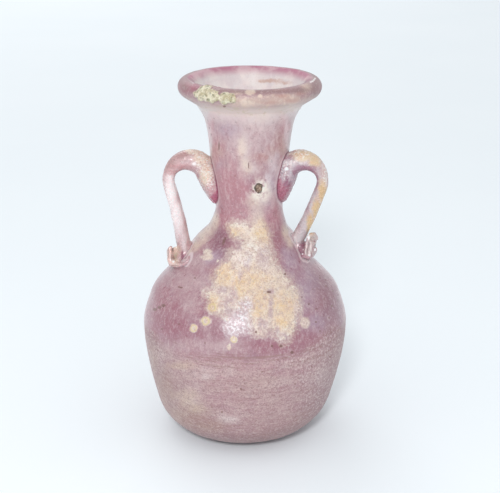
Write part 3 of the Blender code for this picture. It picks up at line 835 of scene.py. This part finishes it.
RIGHT_TONES = {
    "plain": (0.58, 0.46, 0.48), "second": (0.5, 0.37, 0.4), "speckle": 0.26, "streak": 0.5,
    "under": (0.33, 0.14, 0.2), "under_share": 0.9,
    "places": (
        ((0.7, 0.53, 0.33), 0.9, 0.5, ((304, 155, 12, 6), (315, 160, 6, 7))),
        ((0.64, 0.5, 0.45), 0.8, 0.6, ((325, 172, 4, 10), (322, 186, 4, 10))),
        ((0.62, 0.55, 0.56), 0.8, 0.6, ((312, 200, 4, 18), (304, 222, 4, 14), (300, 236, 5, 8))),
        ((0.68, 0.47, 0.24), 0.9, 0.5, ((323, 193, 4.5, 12), (317, 211, 4.5, 12),
            (310.5, 226, 4.0, 12))),
        ((0.45, 0.35, 0.4), 0.85, 0.5, ((281, 172, 5, 12),)),
        # painted highlight: a white-lilac shine where the pad turns into the loop
        ((0.66, 0.59, 0.64), 0.6, 0.5, ((291, 175, 3.0, 8), (296, 168, 5, 2.5))),
        ((0.3, 0.11, 0.19), 0.75, 0.6, ((286, 182, 4, 3.5), (279, 174, 2.5, 4),
            (288, 158, 5, 2.5))),
        ((0.74, 0.7, 0.72), 0.7, 0.5, ((286, 162, 5, 3), (279, 171, 2.0, 7))),
        ((0.36, 0.17, 0.24), 0.8, 0.5, ((305, 168.5, 12, 3.5), (296, 172, 4, 3))),
        ((0.42, 0.12, 0.19), 0.92, 0.5, ((283, 193, 8, 9), (278, 184, 3.5, 8))),
        ((0.29, 0.12, 0.17), 0.9, 0.4, ((301.5, 250, 4.5, 8),)),
        ((0.54, 0.45, 0.42), 0.8, 0.6, ((313, 240, 5.5, 8), (310, 250, 5, 8))),
        ((0.48, 0.24, 0.29), 0.7, 0.6, ((307, 258, 5, 2.5),)),
    ),
    "granular": ((283, 168, 9, 12), (300, 154, 10, 5), (325, 175, 4, 10)),
    "marks_and_painted_light": (
        # painted highlights: white glints on the pad, the tail and its edge
        ((0.93, 0.93, 0.94), 0.85, 0.4, ((286.5, 169, 2.0, 1.8), (302.5, 254, 0.9, 0.9),
            (314.6, 249.5, 1.2, 1.5), (309.6, 255, 1.4, 1.0))),
        ((0.96, 0.95, 0.95), 0.9, 0.4, ((308.4, 236.8, 1.2, 3.0),)),
        ((0.86, 0.7, 0.7), 0.9, 0.5, ((297.4, 249, 0.9, 5.4), (299.4, 256, 1.1, 2.4),
            (303.6, 259.8, 2.8, 1.0))),
        # painted shade: a near-black notch between the tail's lobes
        ((0.1, 0.07, 0.07), 0.8, 0.5, ((315.2, 245.2, 1.0, 0.9),)),
        # painted shade and painted light: dark and light stripes along the tail's folds
        ((0.33, 0.2, 0.215), 0.8, 0.6, ((309.0, 244.5, 0.9, 3.2), (307.6, 250.0, 0.9, 3.2),
            (313.0, 248.5, 0.9, 3.2), (314.6, 241.0, 0.8, 1.8), (311.4, 254.5, 0.9, 2.0))),
        ((0.88, 0.77, 0.75), 0.8, 0.6, ((310.9, 247.0, 0.8, 3.2), (309.4, 252.6, 0.8, 2.4),
            (306.4, 246.0, 0.7, 3.6), (305.4, 251.5, 0.6, 3.0))),
    ),
}


def flask_material():
    """Purple glass, smooth and glossy above, matt and lined below, under a cream weathering."""
    s = Shading("weathered_aubergine_glass")
    z = s.attribute("height")
    facing = s.attribute("facing")
    inside = s.attribute("inside")
    crust = s.attribute("crust")
    outside = s.minus(1, inside)
    on_front = s.times((facing, 0.0, 0.12), outside)

    fine = s.noise(0.0022, 5, 0.65)
    grain = s.noise(0.00055, 3, 0.7)
    specks = s.noise(0.0009, 4, 0.75)
    clouds = s.noise(0.022, 4, 0.55)
    middle = s.noise(0.0075, 5, 0.62)
    lines = s.noise(0.0007, 4, 0.7, 0.5, drawn=(0.16, 0.16, 1))
    swirls = s.noise(0.003, 5, 0.62, 1.2)
    fine_off = s.minus(fine, 0.5)
    middle_off = s.minus(middle, 0.5)
    speck_off = s.minus(specks, 0.5)
    near = s.shifted(s.times(fine_off, 6.0), s.times(s.minus(swirls, 0.5), 6.0))

    # Glass under a thin uneven film
    streaks = s.noise(0.0045, 4, 0.6, 0.4, drawn=(1, 1, 0.2))
    glass = Layers(s, s.step(clouds, 0.38, 0.64), MAUVE, WINE)
    glass.lay(FILM, (streaks, 0.46, 0.72), 0.45)
    glass.lay(LILAC, (middle, 0.5, 0.72), 0.45)
    glass.lay((0.58, 0.44, 0.445), (z, 0.096, 0.116), (z, 0.131, 0.1295), 0.62)

    # The matt lower body, with fine lines left by working the glass and painted shade near the base
    # and at its sides
    edge = s.add(z, s.times(middle_off, 0.006), s.times(s.minus(lines, 0.5), 0.005))
    low = s.times((edge, 0.0475, 0.0425), outside)
    low = s.most(low, s.times(on_front, (s.ovals(near, MATT_SIDES, 1.0), 0.15, 0.6)))
    broad_lines = s.noise(0.0035, 4, 0.65, 0.4, drawn=(0.16, 0.16, 1))
    matt = Layers(s, s.step(broad_lines, 0.36, 0.66), (0.495, 0.305, 0.325), (0.58, 0.415, 0.41))
    matt.lay((0.4, 0.22, 0.25), (middle, 0.48, 0.72), 0.45)
    matt.lay((0.52, 0.4, 0.35), (clouds, 0.46, 0.66), 0.3)
    # Painted shade: the matt body darker near the base and where it turns away from view
    matt.lay((0.29, 0.175, 0.17), (z, 0.024, 0.002), 0.7)
    matt.lay((0.27, 0.16, 0.17), (facing, 0.85, 0.2), 0.75)
    glass.lay(matt.colour, low, 0.9)
    glass.lay(WINE, (z, 0.042, 0.0455), (z, 0.053, 0.0475), outside, 0.12)
    worked = s.step(s.noise(0.001, 4, 0.65, 0.3, drawn=(0.06, 0.06, 1)), 0.53, 0.62)
    streaked = s.times((z, 0.0385, 0.0425), (z, 0.0495, 0.0455), outside, worked)

    # Tones of the front
    wobble = s.add(s.times(middle_off, 1.7), s.times(fine_off, 1.1))

    def area(name, soft, firm=None):
        """1 inside a stored area of the front, with an uneven edge."""
        return s.step(s.add(s.attribute(name), wobble), -soft, firm or soft)

    broken = s.step(fine, 0.05, 0.45)
    for number, (tint, share, soft, _) in enumerate(TONES):
        glass.lay(tint, area(f"tone_{number}", soft), broken, share)

    # Fine mottling and grain of the surface
    mottle = s.noise(0.0016, 5, 0.7, 0.6, drawn=(1, 1, 0.7))
    upper = s.times(s.minus(1, low), outside)
    neck = s.step(z, 0.088, 0.1)
    calm = s.blend(neck, 1.25, 0.75)
    glass.lay((0.64, 0.5, 0.51), upper, calm, (mottle, 0.53, 0.66), 0.26)
    glass.lay((0.29, 0.105, 0.14), upper, calm, (mottle, 0.46, 0.34), 0.24)
    veins = s.noise(0.0034, 5, 0.65, 1.0, drawn=(1, 1, 0.38))
    glass.lay((0.72, 0.58, 0.57), neck, outside, (veins, 0.51, 0.6), 0.28)
    glass.lay((0.43, 0.22, 0.24), neck, outside, (veins, 0.47, 0.37), 0.38)
    threads = s.noise(0.0013, 4, 0.7, 0.6, drawn=(1, 1, 0.4))
    glass.lay((0.7, 0.58, 0.59), upper, (threads, 0.54, 0.62), 0.3)
    glass.lay((0.32, 0.14, 0.17), upper, (threads, 0.44, 0.36), 0.3)
    glass.lay(PALE, s.step(specks, 0.48, 0.66), s.blend(low, 0.22, 0.4))
    glass.lay((0.23, 0.105, 0.13), s.step(grain, 0.47, 0.64), calm, s.blend(low, 0.22, 0.44))
    glass.lay((0.3, 0.17, 0.15), streaked, 0.55)
    glass.lay(PALE, low, (lines, 0.48, 0.66), 0.2)
    glass.lay((0.3, 0.16, 0.17), low, (lines, 0.48, 0.34), 0.2)
    glass.lay((0.32, 0.175, 0.17), low, worked, 0.24)
    glass.lay((0.72, 0.61, 0.56), low, (s.noise(0.0013, 4, 0.75), 0.58, 0.65), 0.4)
    scratched = s.times(on_front, (s.ovals(near, SCRATCHED, 1.0), 0.05, 0.6), low)
    glass.lay((0.77, 0.68, 0.69), scratched, (specks, 0.52, 0.62), 0.4)
    glass.lay((0.29, 0.15, 0.17), scratched, (specks, 0.47, 0.38), 0.5)
    scars = s.noise(0.0011, 4, 0.7, drawn=(0.5, 0.5, 1))
    glass.lay((0.25, 0.13, 0.135), low, (scars, 0.42, 0.36), 0.5)

    # Cream weathering: the patch on the front, its spots, and a plainer scatter behind; after it,
    # ringed spots and a painted highlight
    ragged = s.add(s.attribute("patch"), s.times(fine_off, 12.0), s.times(speck_off, 9.0),
                   s.times(middle_off, 6.0))
    patch = s.times(on_front, s.most(s.step(ragged, -1.0, 2.2),
                                     s.times((ragged, -7.0, 0.5), 0.6)))
    spots = s.times(on_front, s.ovals(near, SPOTS, 0.3))
    behind = s.times(s.step(s.attribute("depth"), 0.002, 0.012), s.step(z, 0.044, 0.056),
                     s.step(z, 0.098, 0.086), outside,
                     s.step(s.add(clouds, s.times(fine_off, 0.35)), 0.56, 0.6))
    cream = Layers(s, s.step(fine, 0.36, 0.6), (0.64, 0.51, 0.455), (0.79, 0.67, 0.58))
    cream.lay((0.8, 0.68, 0.54), (middle, 0.38, 0.6), 0.5)
    ochre = s.most(area("ochre", 0.9, 0.7), s.times(behind, (middle, 0.42, 0.6)))
    cream.lay((0.775, 0.59, 0.39), ochre, (fine, 0.24, 0.52), 0.8)
    cream.lay((0.785, 0.56, 0.28), ochre, (swirls, 0.5, 0.62), 0.66)
    cream.lay((0.52, 0.365, 0.35), s.step(swirls, 0.45, 0.37), s.blend(ochre, 0.36, 0.18))
    cream.lay((0.5, 0.36, 0.4), area("lilac", 0.6), (mottle, 0.34, 0.54), 0.8)
    # Chalk, and at the glint's centre a painted highlight
    cream.lay(CHALK, area("chalk_and_glint", 0.7), (s.add(fine, s.times(grain, 0.35)), 0.56, 0.8), 0.6)
    cream.lay((0.89, 0.79, 0.68), s.step(threads, 0.5, 0.58), s.blend(ochre, 0.4, 0.28))
    cream.lay((0.51, 0.34, 0.3), s.step(threads, 0.47, 0.39), s.blend(ochre, 0.38, 0.3))
    cream.lay((0.94, 0.89, 0.84), s.step(specks, 0.52, 0.61), s.blend(ochre, 0.46, 0.32))
    cream.lay((0.43, 0.29, 0.24), s.step(grain, 0.46, 0.37), s.blend(ochre, 0.6, 0.54))
    cover = s.most(s.times(patch, s.blend(s.step(swirls, 0.34, 0.46), 0.8, 0.95)),
                   s.times(spots, 0.85), s.times(behind, 0.75))
    glass.lay(cream.colour, cover)
    rings = [s.step(s.off(s.away(near, x, y, radius, radius), 0.72), 0.3, 0.06)
             for x, y, radius in RINGS]
    rings = s.times(on_front, s.most(*rings))
    glass.lay((0.7, 0.56, 0.28), rings, 0.7)
    # Painted highlight: a white glint with fine sparkle on the lower left of the patch
    painted_glint_mask = area("painted_glint", 0.8)
    glass.lay((0.74, 0.66, 0.69), painted_glint_mask, 0.24)
    glass.lay((0.96, 0.94, 0.96), painted_glint_mask, (specks, 0.48, 0.56), 0.72)

    # Dark line where the handles join, and the pale edge round it
    joint = s.attribute("joint")
    high = s.step(z, 0.086, 0.092)
    line = s.times(s.step(joint, 0.62, 0.28), outside, s.blend(high, 0.12, 0.85))
    pale_edge = s.times(s.step(joint, 1.9, 1.1),
                        s.most(s.step(joint, 0.6, 0.85), s.minus(1, high)))
    glass.lay((0.76, 0.62, 0.64), pale_edge, outside, s.blend(high, 0.84, 0.4))
    glass.lay((0.28, 0.06, 0.12), line)

    # Rim: rose at the ends and behind, beige and streaked in front, with the crust on it
    rim = s.times((z, 0.13, 0.1316), outside)
    glass.lay((0.36, 0.225, 0.235), rim, s.blend(s.step(clouds, 0.4, 0.6), 0.65, 0.85))
    beige = s.times(rim, area("lip_beige", 0.7))
    glass.lay((0.59, 0.455, 0.385), beige, 0.75)
    glass.lay((0.76, 0.64, 0.54), beige, (swirls, 0.48, 0.6), 0.6)
    glass.lay((0.48, 0.27, 0.235), rim, area("lip_rust", 0.8), 0.65)
    glass.lay((0.36, 0.11, 0.16), rim, s.ovals(near, LIP_ROSE, 0.7), 0.8)
    glass.lay((0.29, 0.18, 0.18), rim, area("lip_shade", 0.8), 0.75)
    glass.lay(PALE, rim, (specks, 0.5, 0.68), 0.32)
    # Painted light: lighter under the lip and over its lower half
    glass.lay((0.755, 0.64, 0.63), (z, 0.124, 0.1295), (z, 0.1345, 0.1315), outside, 0.66)
    # The crease under the lip: painted light over it, with a streaky green-cream crust line in it
    crease = s.times((z, 0.1285, 0.1308), (z, 0.1366, 0.133), outside)
    glass.lay((0.8, 0.69, 0.62), crease, 0.5)
    glass.lay((0.56, 0.47, 0.33), crease, (swirls, 0.54, 0.62), 0.55)
    # Painted shade: the rim darker where it turns away from view
    glass.lay((0.23, 0.12, 0.14), rim, (facing, 0.34, 0.04), 0.55)
    blots = s.most(s.ovals(near, LIP_BLOTS[:1], 0.3), s.ovals(near, LIP_BLOTS[1:], 0.4))
    glass.lay(CREAM, on_front, blots, 0.6)
    glass.lay((0.95, 0.93, 0.92), on_front, s.ovals(s.front, LIP_GLINT, 0.5), 0.8)
    pitted = s.noise(0.0016, 4, 0.75)
    crumbs = Layers(s, s.step(s.noise(0.0014, 3, 0.6), 0.42, 0.58), CRUST, (0.75, 0.695, 0.53))
    crumbs.lay(OLIVE, (pitted, 0.53, 0.61), (crust, 0.35, 0.8), 0.85)
    crumbs.lay(CHALK, (specks, 0.54, 0.63), 0.4)
    crusted = s.times((s.add(crust, s.times(speck_off, 0.6)), 0.12, 0.55), (crust, 0.02, 0.12))
    glass.lay(crumbs.colour, crusted)

    # The chip on the neck, the pale halo round it, and the small dark specks
    chip = s.away(near, *CHIP)
    glass.lay((0.86, 0.81, 0.72), on_front, s.step(s.away(near, *CHIP_HALO), 3.1, 1.0),
              s.step(s.add(fine, s.times(specks, 0.4)), 0.56, 0.74), 0.85)
    hollow = Layers(s, s.step(s.noise(0.0007, 3, 0.6), 0.4, 0.56), (0.22, 0.13, 0.085),
                    (0.48, 0.35, 0.26))
    hollow.lay((0.11, 0.08, 0.06), (s.off(chip, 0.98), 0.26, 0.1))
    glass.lay(hollow.colour, on_front, (chip, 1.24, 1.06))
    glass.lay(BROWN, on_front, s.ovals(s.front, DARKS, 0.35), 0.85)
    glass.lay(BROWN, (s.cells(0.0042), 0.1, 0.055), (middle, 0.5, 0.6), (z, 0.093, 0.085),
              outside, 0.4)

    # The inside has a pale even film with a faint stain; the pale colour is partly painted light
    # coming in through the wall
    inside_film_and_light = Layers(s, s.step(middle, 0.4, 0.62), (0.83, 0.76, 0.74), (0.73, 0.655, 0.665))
    inside_film_and_light.lay((0.86, 0.83, 0.825), (streaks, 0.5, 0.68), 0.45)
    inside_film_and_light.lay((0.45, 0.33, 0.33), (grain, 0.52, 0.7), 0.18)
    inside_film_and_light.lay((0.6, 0.39, 0.32), s.ovals(near, MOUTH_STAIN, 0.7), (fine, 0.3, 0.6), 0.8)
    inside_film_and_light.lay((0.43, 0.155, 0.235), s.step(z, 0.1364, 0.14),
             s.blend(s.step(middle, 0.38, 0.58), 0.66, 1.0))
    glass.lay(inside_film_and_light.colour, inside)
    # Painted shade: a dark line along the top edge of the lip where it turns away from view
    glass.lay((0.23, 0.13, 0.155), (z, 0.137, 0.138), (facing, 0.26, 0.05), 0.7)

    roughness = s.blend(low, 0.3, 0.58)
    roughness = s.blend(s.most(cover, painted_glint_mask), roughness, 0.5)
    roughness = s.blend(crusted, roughness, 0.85)
    roughness = s.blend(inside, roughness, 0.75)
    roughness = s.add(roughness, s.times(fine_off, 0.2))
    roughness = s.blend(rim, roughness, 0.45)
    coat = s.times(upper, s.minus(1, rim), s.minus(1, cover), s.blend(painted_glint_mask, 0.38, 0.14))

    height = s.add(s.times(fine, 0.028), s.times(grain, 0.02))
    height = s.add(height, s.times(low, s.add(lines, s.times(specks, 0.8)), 0.1))
    height = s.add(height, s.times(cover, s.add(specks, s.times(grain, 0.7)), 0.19))
    height = s.add(height, s.times(crust, pitted, 0.54))
    normal = s.bump(height, 1.0, 0.001)
    return s.finish(glass.colour, roughness, normal, IOR=1.5, Subsurface_Weight=0.6,
                    Subsurface_Radius=(1.0, 0.66, 0.7), Subsurface_Scale=0.0022,
                    Transmission_Weight=0.1, Sheen_Weight=0.18, Sheen_Roughness=0.45,
                    Sheen_Tint=(0.95, 0.88, 0.85), Coat_Weight=coat, Coat_Roughness=0.25)


def handle_material(name, tones):
    """Trail glass: milky pink with a lengthwise grain, cream and ochre weathering, dark drips."""
    s = Shading(name)
    facing = s.attribute("facing")
    on_front = s.step(facing, -0.15, 0.1)
    inward = s.attribute("inward")
    seam = s.attribute("seam")
    along = s.noise(0.0013, 4, 0.65, 0.3, drawn=(1, 1, 0.18))
    clouds = s.noise(0.007, 4, 0.6)
    fine = s.noise(0.0015, 5, 0.7)
    swirls = s.noise(0.0026, 4, 0.65, 0.8)
    right, down = s.minus(fine, 0.5), s.minus(swirls, 0.5)
    place = s.shifted(s.times(right, 8.0), s.times(down, 8.0))
    near = s.shifted(s.times(right, 2.5), s.times(down, 2.5))
    specks = s.noise(0.0007, 4, 0.75)
    grain = s.noise(0.0004, 3, 0.7)
    glass = Layers(s, s.step(clouds, 0.38, 0.62), tones["plain"], tones["second"])
    glass.lay(CHALK, (along, 0.44, 0.66), tones["streak"])
    glass.lay(tones["under"], (inward, 0.1, 0.75), tones["under_share"])
    for tint, share, soft, rows in tones["places"]:
        glass.lay(tint, on_front, s.ovals(place, rows, soft), (fine, 0.14, 0.38), share)
    glass.lay(CREAM, (facing, 0.05, -0.2), (clouds, 0.48, 0.6), 0.6)
    granular = s.times(on_front, s.ovals(place, tones["granular"], 0.6))
    glass.lay(CHALK, granular, (specks, 0.51, 0.58), 0.9)
    glass.lay((0.48, 0.28, 0.29), granular, (specks, 0.45, 0.37), 0.75)
    glass.lay(PALE, (specks, 0.54, 0.7), tones["speckle"])
    glass.lay((0.36, 0.2, 0.22), (grain, 0.54, 0.74), tones["speckle"])
    high = s.step(s.attribute("height"), 0.086, 0.092)
    glass.lay((0.29, 0.055, 0.12), s.step(seam, 0.85, 0.45), s.step(fine, 0.15, 0.35),
              s.blend(high, 0.25, 1.0), 0.9)
    # Marks: dark lines and drips, with painted highlights and painted light and shade on the folds
    for tint, share, soft, rows in tones["marks_and_painted_light"]:
        glass.lay(tint, on_front, s.ovals(near, rows, soft), share)
    roughness = s.add(0.16, s.times(fine, 0.22), s.times(granular, 0.16))
    height = s.add(s.times(fine, 0.054), s.times(grain, 0.027), s.times(along, 0.105))
    normal = s.bump(s.add(height, s.times(granular, specks, 0.21)), 1.0, 0.001)
    return s.finish(glass.colour, roughness, normal, IOR=1.5, Subsurface_Weight=0.6,
                    Subsurface_Radius=(1.0, 0.66, 0.68), Subsurface_Scale=0.001,
                    Transmission_Weight=0.12, Sheen_Weight=0.12, Sheen_Roughness=0.4,
                    Sheen_Tint=(0.96, 0.9, 0.88), Coat_Weight=0.4, Coat_Roughness=0.1)


def floor_material():
    """Pale paper with the faintest mottling."""
    s = Shading("pale_paper")
    mottle = s.step(s.noise(0.25, 3, 0.5), 0.3, 0.7)
    colour = s.mix(mottle, (0.845, 0.9, 0.935), (0.86, 0.912, 0.945))
    normal = s.bump(s.noise(0.004, 2, 0.5), 0.03, 0.0005)
    return s.finish(colour, 0.9, normal)


# ---- stage ----

def build_stage():
    """A plain pale floor, two large soft lights and an even pale surrounding."""
    mesh = bpy.data.meshes.new("floor")
    half = FLOOR_HALF
    mesh.from_pydata([(-half, -half, 0), (half, -half, 0), (half, half, 0), (-half, half, 0)], [],
                     [(0, 1, 2, 3)])
    floor = add_object("floor", mesh)
    floor.data.materials.append(floor_material())
    world = bpy.data.worlds.new("surrounding")
    world.use_nodes = True
    background = world.node_tree.nodes["Background"].inputs
    background["Color"].default_value = (*SURROUNDING, 1.0)
    background["Strength"].default_value = SURROUNDING_STRENGTH
    bpy.context.scene.world = world
    for name, place, target, size, power in LIGHTS:
        data = bpy.data.lights.new(name, "AREA")
        data.shape = "DISK"
        data.size = size
        data.energy = power
        light = add_object(name, data)
        light.location = place
        aim = Vector(target) - Vector(place)
        light.rotation_euler = aim.to_track_quat("-Z", "Y").to_euler()
    bpy.context.scene.view_settings.view_transform = "Standard"


def build_camera():
    """The photograph's viewpoint."""
    data = bpy.data.cameras.new("camera")
    data.sensor_width = SENSOR
    data.lens = FOCAL_PIXELS / PICTURE[0] * SENSOR
    data.clip_start = 0.01
    camera = add_object("camera", data)
    camera.location = CAMERA_PLACE
    camera.rotation_euler = (pi / 2 - CAMERA_PITCH, 0.0, 0.0)
    bpy.context.scene.camera = camera


build_camera()
build_stage()
handles = []
for node_name, tones in (("handle_left", LEFT_TONES), ("handle_right", RIGHT_TONES)):
    handle = build_handle(node_name)
    handle.data.materials.append(handle_material(node_name + "_glass", tones))
    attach(handle, "root")
    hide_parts(node_name)
    handles.append(handle)
flask = build_flask(handles)
flask.data.materials.append(flask_material())
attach(flask, "root")
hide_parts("flask")
